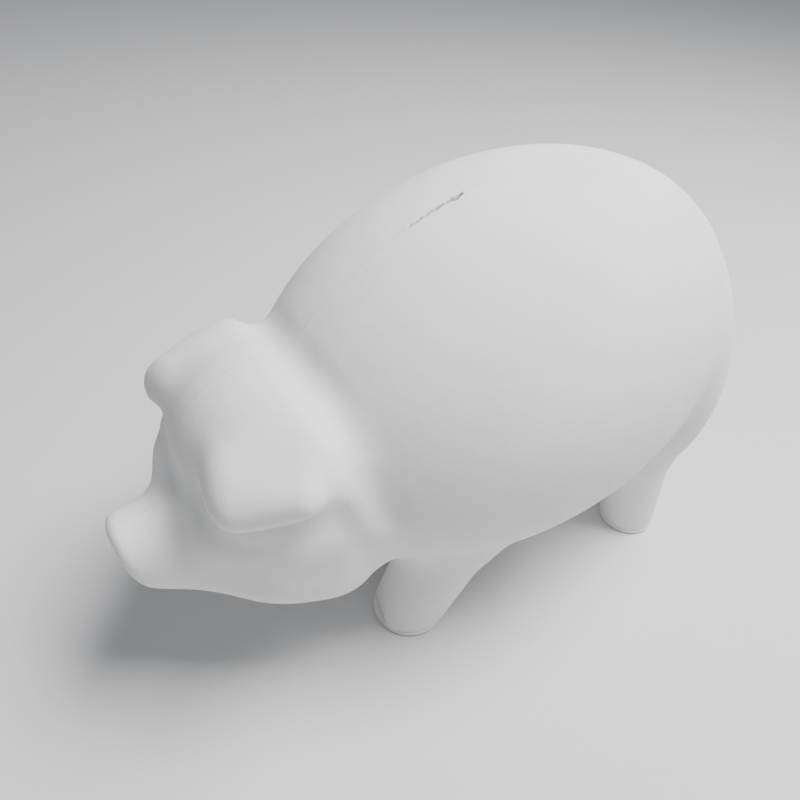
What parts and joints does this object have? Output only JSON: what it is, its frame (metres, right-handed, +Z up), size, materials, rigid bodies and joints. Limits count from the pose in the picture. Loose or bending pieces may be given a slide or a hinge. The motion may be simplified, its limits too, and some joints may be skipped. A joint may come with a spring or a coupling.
{
  "type": "piggy bank",
  "caption": "Hollow plaster piggy bank: egg-shaped body, blunt snout, drooping ears, short legs, a coin slot on the spine and a pull-out belly plug.",
  "frame": {"origin": "under the middle of the body, at the level the soles stand on", "axes": "+Z up, +Y from the snout to the tail, +X the pig's left side"},
  "size_m": [0.217, 0.3859, 0.259],
  "materials": {
    "plaster": "matte raw white plaster, faintly powdery",
    "band_plaster": "rough brushed plaster",
    "sole_plaster": "matte plaster, scuffed",
    "stopper_rubber": "soft translucent white vinyl, satin"
  },
  "bodies": {
    "casting": {"left_shell": "plaster", "right_shell": "plaster", "joint_band": "band_plaster", "front_left_sole": "sole_plaster", "front_right_sole": "sole_plaster", "rear_left_sole": "sole_plaster", "rear_right_sole": "sole_plaster"},
    "stopper": {"belly_stopper": "stopper_rubber"}
  },
  "joints": [
    {"name": "stopper_pull", "type": "slide", "parent": "casting", "child": "stopper", "axis": [0, 0, -1], "range_m": [0, 0.03]}
  ]
}
